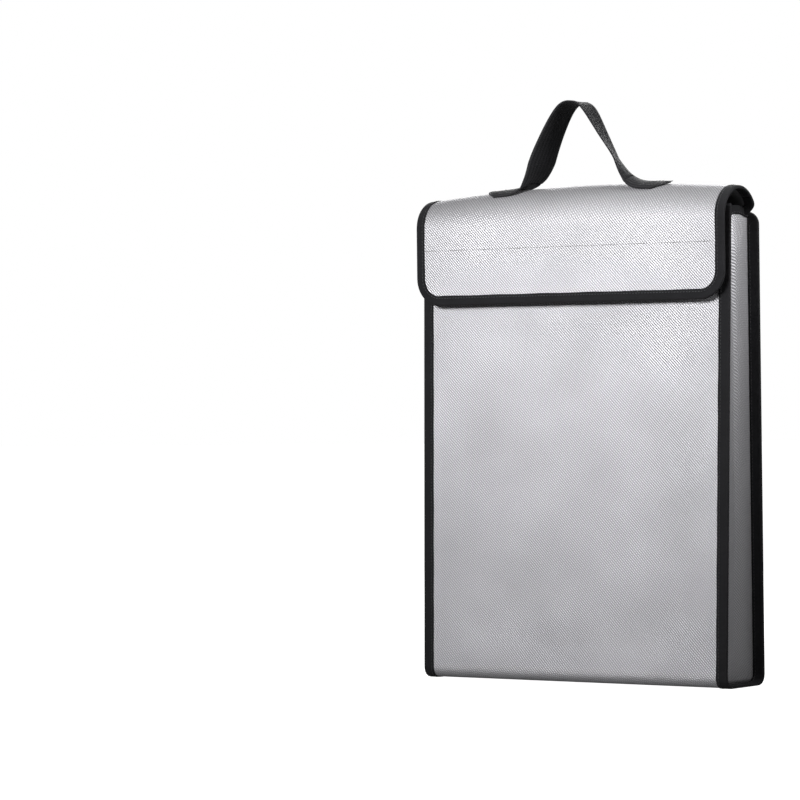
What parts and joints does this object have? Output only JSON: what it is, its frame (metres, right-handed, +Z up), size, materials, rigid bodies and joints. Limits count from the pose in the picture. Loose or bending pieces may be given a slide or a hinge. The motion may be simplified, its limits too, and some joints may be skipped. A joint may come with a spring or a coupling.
{
  "type": "lipo safe bag",
  "caption": "Tall soft fire-resistant storage bag with bound side gussets, a hook and loop flap over the mouth and a webbing carry handle on top.",
  "frame": {"origin": "middle of the base, on the surface the bag stands on", "axes": "+Z up, +X along the width towards the right when the flap faces you, -Y is the front, where the flap comes down"},
  "size_m": [0.282, 0.0576, 0.4536],
  "materials": {
    "silver_cloth": "silver-grey coated glass-fibre twill, soft sheen",
    "grey_lining": "dull grey coated cloth",
    "black_binding": "ribbed woven tape, sewn with black thread",
    "black_webbing": "woven webbing, slight sheen",
    "hook_tape": "stiff nylon hooks on woven tape",
    "loop_tape": "soft brushed nylon loops"
  },
  "bodies": {
    "bag": {"body_wrap": "silver_cloth", "gusset_left": "silver_cloth", "gusset_right": "silver_cloth", "lining_wrap": "grey_lining", "lining_gusset_left": "grey_lining", "lining_gusset_right": "grey_lining", "edge_binding_left": "black_binding", "edge_binding_right": "black_binding", "mouth_binding_front": "black_binding", "mouth_binding_left": "black_binding", "mouth_binding_right": "black_binding", "loop_strip": "loop_tape"},
    "flap_top": {"flap_top_panel": "silver_cloth", "flap_top_lining": "grey_lining", "flap_top_binding_left": "black_binding", "flap_top_binding_right": "black_binding", "handle_foot_left": "black_webbing", "handle_foot_right": "black_webbing"},
    "flap_front": {"flap_front_panel": "silver_cloth", "flap_front_lining": "grey_lining", "flap_front_binding": "black_binding", "hook_strip": "hook_tape"},
    "handle": {"handle_loop": "black_webbing"}
  },
  "joints": [
    {"name": "flap_lift", "type": "hinge", "parent": "bag", "child": "flap_top", "pos_m": [0, 0.0223, 0.3619], "axis": [-1, 0, 0], "range_deg": [0, 180]},
    {"name": "flap_peel", "type": "hinge", "parent": "flap_top", "child": "flap_front", "pos_m": [0, -0.027, 0.353], "axis": [-1, 0, 0], "range_deg": [0, 95]},
    {"name": "handle_swing", "type": "hinge", "parent": "flap_top", "child": "handle", "pos_m": [0, -0.008, 0.3943], "axis": [1, 0, 0], "range_deg": [-10, 78]}
  ]
}
